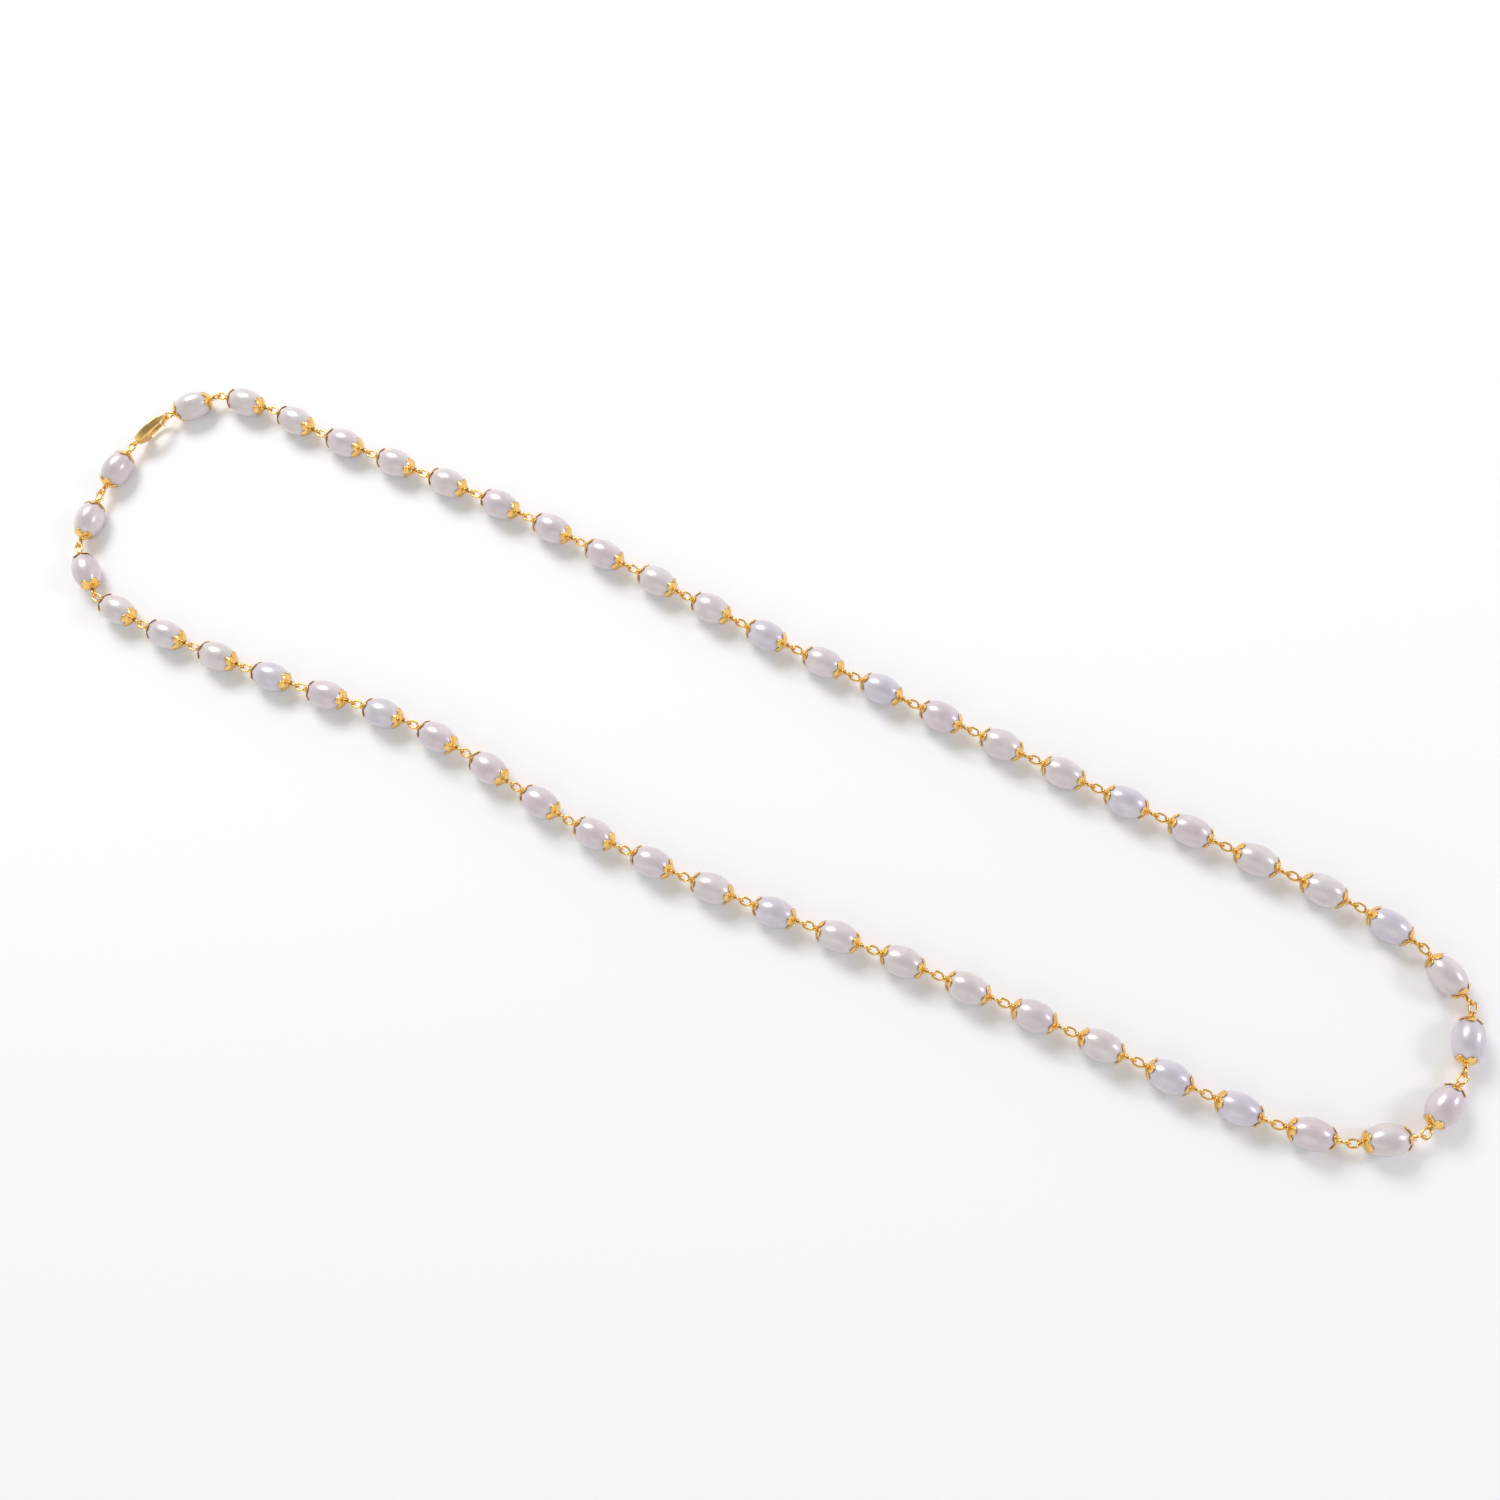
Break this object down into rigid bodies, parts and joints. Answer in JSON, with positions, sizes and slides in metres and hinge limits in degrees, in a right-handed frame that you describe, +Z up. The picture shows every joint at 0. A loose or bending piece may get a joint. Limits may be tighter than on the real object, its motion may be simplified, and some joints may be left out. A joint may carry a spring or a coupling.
{
  "type": "pearl necklace",
  "caption": "Long single-strand necklace of oval pearls in petal bead caps, linked by eye pins and closed by a lobster clasp.",
  "frame": {"origin": "on the surface the necklace lies on, under the middle of its outline", "axes": "+X along the long loop towards the fold opposite the clasp, +Y across the two strands, +Z up"},
  "size_m": [0.4193, 0.0848, 0.008],
  "materials": {
    "pearl": "imitation pearl, lustrous off-white with a faint pink and lavender tint",
    "gold": "polished yellow gold plating"
  },
  "bodies": {
    "pearl_link_01": {"pearl_link_01": "pearl"},
    "pearl_link_02": {"pearl_link_02": "pearl"},
    "pearl_link_03": {"pearl_link_03": "pearl"},
    "pearl_link_04": {"pearl_link_04": "pearl"},
    "pearl_link_05": {"pearl_link_05": "pearl"},
    "pearl_link_06": {"pearl_link_06": "pearl"},
    "pearl_link_07": {"pearl_link_07": "pearl"},
    "pearl_link_08": {"pearl_link_08": "pearl"},
    "pearl_link_09": {"pearl_link_09": "pearl"},
    "pearl_link_10": {"pearl_link_10": "pearl"},
    "pearl_link_11": {"pearl_link_11": "pearl"},
    "pearl_link_12": {"pearl_link_12": "pearl"},
    "pearl_link_13": {"pearl_link_13": "pearl"},
    "pearl_link_14": {"pearl_link_14": "pearl"},
    "pearl_link_15": {"pearl_link_15": "pearl"},
    "pearl_link_16": {"pearl_link_16": "pearl"},
    "pearl_link_17": {"pearl_link_17": "pearl"},
    "pearl_link_18": {"pearl_link_18": "pearl"},
    "pearl_link_19": {"pearl_link_19": "pearl"},
    "pearl_link_20": {"pearl_link_20": "pearl"},
    "pearl_link_21": {"pearl_link_21": "pearl"},
    "pearl_link_22": {"pearl_link_22": "pearl"},
    "pearl_link_23": {"pearl_link_23": "pearl"},
    "pearl_link_24": {"pearl_link_24": "pearl"},
    "pearl_link_25": {"pearl_link_25": "pearl"},
    "pearl_link_26": {"pearl_link_26": "pearl"},
    "pearl_link_27": {"pearl_link_27": "pearl"},
    "pearl_link_28": {"pearl_link_28": "pearl"},
    "pearl_link_29": {"pearl_link_29": "pearl"},
    "pearl_link_30": {"pearl_link_30": "pearl"},
    "pearl_link_31": {"pearl_link_31": "pearl"},
    "pearl_link_32": {"pearl_link_32": "pearl"},
    "pearl_link_33": {"pearl_link_33": "pearl"},
    "pearl_link_34": {"pearl_link_34": "pearl"},
    "pearl_link_35": {"pearl_link_35": "pearl"},
    "pearl_link_36": {"pearl_link_36": "pearl"},
    "pearl_link_37": {"pearl_link_37": "pearl"},
    "pearl_link_38": {"pearl_link_38": "pearl"},
    "pearl_link_39": {"pearl_link_39": "pearl"},
    "pearl_link_40": {"pearl_link_40": "pearl"},
    "pearl_link_41": {"pearl_link_41": "pearl"},
    "pearl_link_42": {"pearl_link_42": "pearl"},
    "pearl_link_43": {"pearl_link_43": "pearl"},
    "pearl_link_44": {"pearl_link_44": "pearl"},
    "pearl_link_45": {"pearl_link_45": "pearl"},
    "pearl_link_46": {"pearl_link_46": "pearl"},
    "pearl_link_47": {"pearl_link_47": "pearl"},
    "pearl_link_48": {"pearl_link_48": "pearl"},
    "pearl_link_49": {"pearl_link_49": "pearl"},
    "pearl_link_50": {"pearl_link_50": "pearl"},
    "clasp": {"clasp_body": "gold", "clasp_pivot_pin": "gold", "clasp_spring": "gold"},
    "clasp_lever": {"clasp_lever": "gold"}
  },
  "joints": [
    {"name": "link_24_pitch", "type": "hinge", "parent": "pearl_link_25", "child": "pearl_link_24", "pos_m": [0.20815, 0.00068, 0.004], "axis": [-0.9781, 0.2081, 0], "range_deg": [-60, 60]},
    {"name": "link_23_pitch", "type": "hinge", "parent": "pearl_link_24", "child": "pearl_link_23", "pos_m": [0.2042, 0.01831, 0.004], "axis": [-0.9791, -0.2034, 0], "range_deg": [-45, 45]},
    {"name": "link_22_pitch", "type": "hinge", "parent": "pearl_link_23", "child": "pearl_link_22", "pos_m": [0.18796, 0.02664, 0.004], "axis": [0.4823, 0.876, 0], "range_deg": [-60, 60]},
    {"name": "link_21_pitch", "type": "hinge", "parent": "pearl_link_22", "child": "pearl_link_21", "pos_m": [0.17015, 0.02954, 0.004], "axis": [-0.1732, -0.9849, 0], "range_deg": [-60, 60]},
    {"name": "link_20_pitch", "type": "hinge", "parent": "pearl_link_21", "child": "pearl_link_20", "pos_m": [0.15215, 0.03001, 0.004], "axis": [0.0315, 0.9995, 0], "range_deg": [-60, 60]},
    {"name": "link_19_pitch", "type": "hinge", "parent": "pearl_link_20", "child": "pearl_link_19", "pos_m": [0.13415, 0.03013, 0.004], "axis": [-0.0076, -1, 0], "range_deg": [-60, 60]},
    {"name": "link_18_pitch", "type": "hinge", "parent": "pearl_link_19", "child": "pearl_link_18", "pos_m": [0.11616, 0.03046, 0.004], "axis": [0.0175, 0.9998, 0], "range_deg": [-60, 60]},
    {"name": "link_17_pitch", "type": "hinge", "parent": "pearl_link_18", "child": "pearl_link_17", "pos_m": [0.09816, 0.0309, 0.004], "axis": [-0.0244, -0.9997, 0], "range_deg": [-60, 60]},
    {"name": "link_16_pitch", "type": "hinge", "parent": "pearl_link_17", "child": "pearl_link_16", "pos_m": [0.08017, 0.03141, 0.004], "axis": [0.0283, 0.9996, 0], "range_deg": [-60, 60]},
    {"name": "link_15_pitch", "type": "hinge", "parent": "pearl_link_16", "child": "pearl_link_15", "pos_m": [0.06218, 0.03194, 0.004], "axis": [-0.0293, -0.9996, 0], "range_deg": [-60, 60]},
    {"name": "link_14_pitch", "type": "hinge", "parent": "pearl_link_15", "child": "pearl_link_14", "pos_m": [0.04418, 0.03244, 0.004], "axis": [0.028, 0.9996, 0], "range_deg": [-60, 60]},
    {"name": "link_13_pitch", "type": "hinge", "parent": "pearl_link_14", "child": "pearl_link_13", "pos_m": [0.02619, 0.03297, 0.004], "axis": [-0.0293, -0.9996, 0], "range_deg": [-60, 60]},
    {"name": "link_12_pitch", "type": "hinge", "parent": "pearl_link_13", "child": "pearl_link_12", "pos_m": [0.0082, 0.0336, 0.004], "axis": [0.035, 0.9994, 0], "range_deg": [-60, 60]},
    {"name": "link_11_pitch", "type": "hinge", "parent": "pearl_link_12", "child": "pearl_link_11", "pos_m": [-0.00978, 0.03442, 0.004], "axis": [-0.0449, -0.999, 0], "range_deg": [-60, 60]},
    {"name": "link_10_pitch", "type": "hinge", "parent": "pearl_link_11", "child": "pearl_link_10", "pos_m": [-0.02775, 0.03549, 0.004], "axis": [0.059, 0.9983, 0], "range_deg": [-60, 60]},
    {"name": "link_09_pitch", "type": "hinge", "parent": "pearl_link_10", "child": "pearl_link_09", "pos_m": [-0.0457, 0.03675, 0.004], "axis": [-0.0693, -0.9976, 0], "range_deg": [-60, 60]},
    {"name": "link_08_pitch", "type": "hinge", "parent": "pearl_link_09", "child": "pearl_link_08", "pos_m": [-0.06366, 0.03793, 0.004], "axis": [0.0659, 0.9978, 0], "range_deg": [-60, 60]},
    {"name": "link_07_pitch", "type": "hinge", "parent": "pearl_link_08", "child": "pearl_link_07", "pos_m": [-0.08164, 0.03878, 0.004], "axis": [-0.0479, -0.9988, 0], "range_deg": [-60, 60]},
    {"name": "link_06_pitch", "type": "hinge", "parent": "pearl_link_07", "child": "pearl_link_06", "pos_m": [-0.09964, 0.03902, 0.004], "axis": [0.0146, 0.9999, 0], "range_deg": [-60, 60]},
    {"name": "link_05_pitch", "type": "hinge", "parent": "pearl_link_06", "child": "pearl_link_05", "pos_m": [-0.11764, 0.0385, 0.004], "axis": [0.0274, -0.9996, 0], "range_deg": [-60, 60]},
    {"name": "link_04_pitch", "type": "hinge", "parent": "pearl_link_05", "child": "pearl_link_04", "pos_m": [-0.13562, 0.03777, 0.004], "axis": [-0.0399, 0.9992, 0], "range_deg": [-60, 60]},
    {"name": "link_03_pitch", "type": "hinge", "parent": "pearl_link_04", "child": "pearl_link_03", "pos_m": [-0.15362, 0.03756, 0.004], "axis": [0.0127, -0.9999, 0], "range_deg": [-60, 60]},
    {"name": "link_02_pitch", "type": "hinge", "parent": "pearl_link_03", "child": "pearl_link_02", "pos_m": [-0.1716, 0.0384, 0.004], "axis": [0.0445, 0.999, 0], "range_deg": [-60, 60]},
    {"name": "link_01_pitch", "type": "hinge", "parent": "pearl_link_02", "child": "pearl_link_01", "pos_m": [-0.18946, 0.03603, 0.004], "axis": [0.1251, -0.9921, 0], "range_deg": [-45, 45]},
    {"name": "link_26_pitch", "type": "hinge", "parent": "pearl_link_25", "child": "pearl_link_26", "pos_m": [0.20411, -0.01829, 0.004], "axis": [-0.9781, 0.2081, 0], "range_deg": [-45, 45]},
    {"name": "link_27_pitch", "type": "hinge", "parent": "pearl_link_26", "child": "pearl_link_27", "pos_m": [0.18838, -0.02749, 0.004], "axis": [0.5286, -0.8489, 0], "range_deg": [-60, 60]},
    {"name": "link_28_pitch", "type": "hinge", "parent": "pearl_link_27", "child": "pearl_link_28", "pos_m": [0.17062, -0.03071, 0.004], "axis": [-0.1917, 0.9815, 0], "range_deg": [-60, 60]},
    {"name": "link_29_pitch", "type": "hinge", "parent": "pearl_link_28", "child": "pearl_link_29", "pos_m": [0.15261, -0.03105, 0.004], "axis": [0.0257, -0.9997, 0], "range_deg": [-60, 60]},
    {"name": "link_30_pitch", "type": "hinge", "parent": "pearl_link_29", "child": "pearl_link_30", "pos_m": [0.13461, -0.03097, 0.004], "axis": [0.0036, 1, 0], "range_deg": [-60, 60]},
    {"name": "link_31_pitch", "type": "hinge", "parent": "pearl_link_30", "child": "pearl_link_31", "pos_m": [0.11662, -0.03123, 0.004], "axis": [0.014, -0.9999, 0], "range_deg": [-60, 60]},
    {"name": "link_32_pitch", "type": "hinge", "parent": "pearl_link_31", "child": "pearl_link_32", "pos_m": [0.09862, -0.0318, 0.004], "axis": [-0.0309, 0.9995, 0], "range_deg": [-60, 60]},
    {"name": "link_33_pitch", "type": "hinge", "parent": "pearl_link_32", "child": "pearl_link_33", "pos_m": [0.08065, -0.03266, 0.004], "axis": [0.0471, -0.9989, 0], "range_deg": [-60, 60]},
    {"name": "link_34_pitch", "type": "hinge", "parent": "pearl_link_33", "child": "pearl_link_34", "pos_m": [0.06268, -0.0338, 0.004], "axis": [-0.0628, 0.998, 0], "range_deg": [-60, 60]},
    {"name": "link_35_pitch", "type": "hinge", "parent": "pearl_link_34", "child": "pearl_link_35", "pos_m": [0.04473, -0.03519, 0.004], "axis": [0.0764, -0.9971, 0], "range_deg": [-60, 60]},
    {"name": "link_36_pitch", "type": "hinge", "parent": "pearl_link_35", "child": "pearl_link_36", "pos_m": [0.02679, -0.03655, 0.004], "axis": [-0.0759, 0.9971, 0], "range_deg": [-60, 60]},
    {"name": "link_37_pitch", "type": "hinge", "parent": "pearl_link_36", "child": "pearl_link_37", "pos_m": [0.00881, -0.03753, 0.004], "axis": [0.0554, -0.9985, 0], "range_deg": [-60, 60]},
    {"name": "link_38_pitch", "type": "hinge", "parent": "pearl_link_37", "child": "pearl_link_38", "pos_m": [-0.00919, -0.03777, 0.004], "axis": [-0.0145, 0.9999, 0], "range_deg": [-60, 60]},
    {"name": "link_39_pitch", "type": "hinge", "parent": "pearl_link_38", "child": "pearl_link_39", "pos_m": [-0.02716, -0.03687, 0.004], "axis": [-0.0474, -0.9989, 0], "range_deg": [-60, 60]},
    {"name": "link_40_pitch", "type": "hinge", "parent": "pearl_link_39", "child": "pearl_link_40", "pos_m": [-0.04502, -0.03455, 0.004], "axis": [0.1258, 0.9921, 0], "range_deg": [-60, 60]},
    {"name": "link_41_pitch", "type": "hinge", "parent": "pearl_link_40", "child": "pearl_link_41", "pos_m": [-0.06281, -0.03186, 0.004], "axis": [-0.1489, -0.9889, 0], "range_deg": [-60, 60]},
    {"name": "link_42_pitch", "type": "hinge", "parent": "pearl_link_41", "child": "pearl_link_42", "pos_m": [-0.0808, -0.031, 0.004], "axis": [0.0511, 0.9987, 0], "range_deg": [-60, 60]},
    {"name": "link_43_pitch", "type": "hinge", "parent": "pearl_link_42", "child": "pearl_link_43", "pos_m": [-0.09872, -0.03273, 0.004], "axis": [0.0904, -0.9959, 0], "range_deg": [-60, 60]},
    {"name": "link_44_pitch", "type": "hinge", "parent": "pearl_link_43", "child": "pearl_link_44", "pos_m": [-0.11655, -0.0352, 0.004], "axis": [-0.1354, 0.9908, 0], "range_deg": [-60, 60]},
    {"name": "link_45_pitch", "type": "hinge", "parent": "pearl_link_44", "child": "pearl_link_45", "pos_m": [-0.13448, -0.03685, 0.004], "axis": [0.0931, -0.9957, 0], "range_deg": [-60, 60]},
    {"name": "link_46_pitch", "type": "hinge", "parent": "pearl_link_45", "child": "pearl_link_46", "pos_m": [-0.15246, -0.03768, 0.004], "axis": [-0.048, 0.9988, 0], "range_deg": [-60, 60]},
    {"name": "link_47_pitch", "type": "hinge", "parent": "pearl_link_46", "child": "pearl_link_47", "pos_m": [-0.17045, -0.0381, 0.004], "axis": [0.0245, -0.9997, 0], "range_deg": [-60, 60]},
    {"name": "link_48_pitch", "type": "hinge", "parent": "pearl_link_47", "child": "pearl_link_48", "pos_m": [-0.18839, -0.03655, 0.004], "axis": [0.0821, 0.9966, 0], "range_deg": [-45, 45]},
    {"name": "link_49_pitch", "type": "hinge", "parent": "pearl_link_48", "child": "pearl_link_49", "pos_m": [-0.20212, -0.02471, 0.004], "axis": [-0.6362, -0.7715, 0], "range_deg": [-45, 45]},
    {"name": "link_50_pitch", "type": "hinge", "parent": "pearl_link_49", "child": "pearl_link_50", "pos_m": [-0.20528, -0.00683, 0.004], "axis": [0.9802, 0.198, 0], "range_deg": [-60, 60]},
    {"name": "clasp_pitch", "type": "hinge", "parent": "pearl_link_50", "child": "clasp", "pos_m": [-0.20492, 0.01119, 0.004], "axis": [-0.9999, 0.0123, 0], "range_deg": [-45, 45]},
    {"name": "lever_press", "type": "hinge", "parent": "clasp", "child": "clasp_lever", "pos_m": [-0.20398, 0.01544, 0.00212], "axis": [0.8906, -0.2999, -0.342], "range_deg": [0, 25], "stiffness_Nm_per_rad": 0.002}
  ]
}
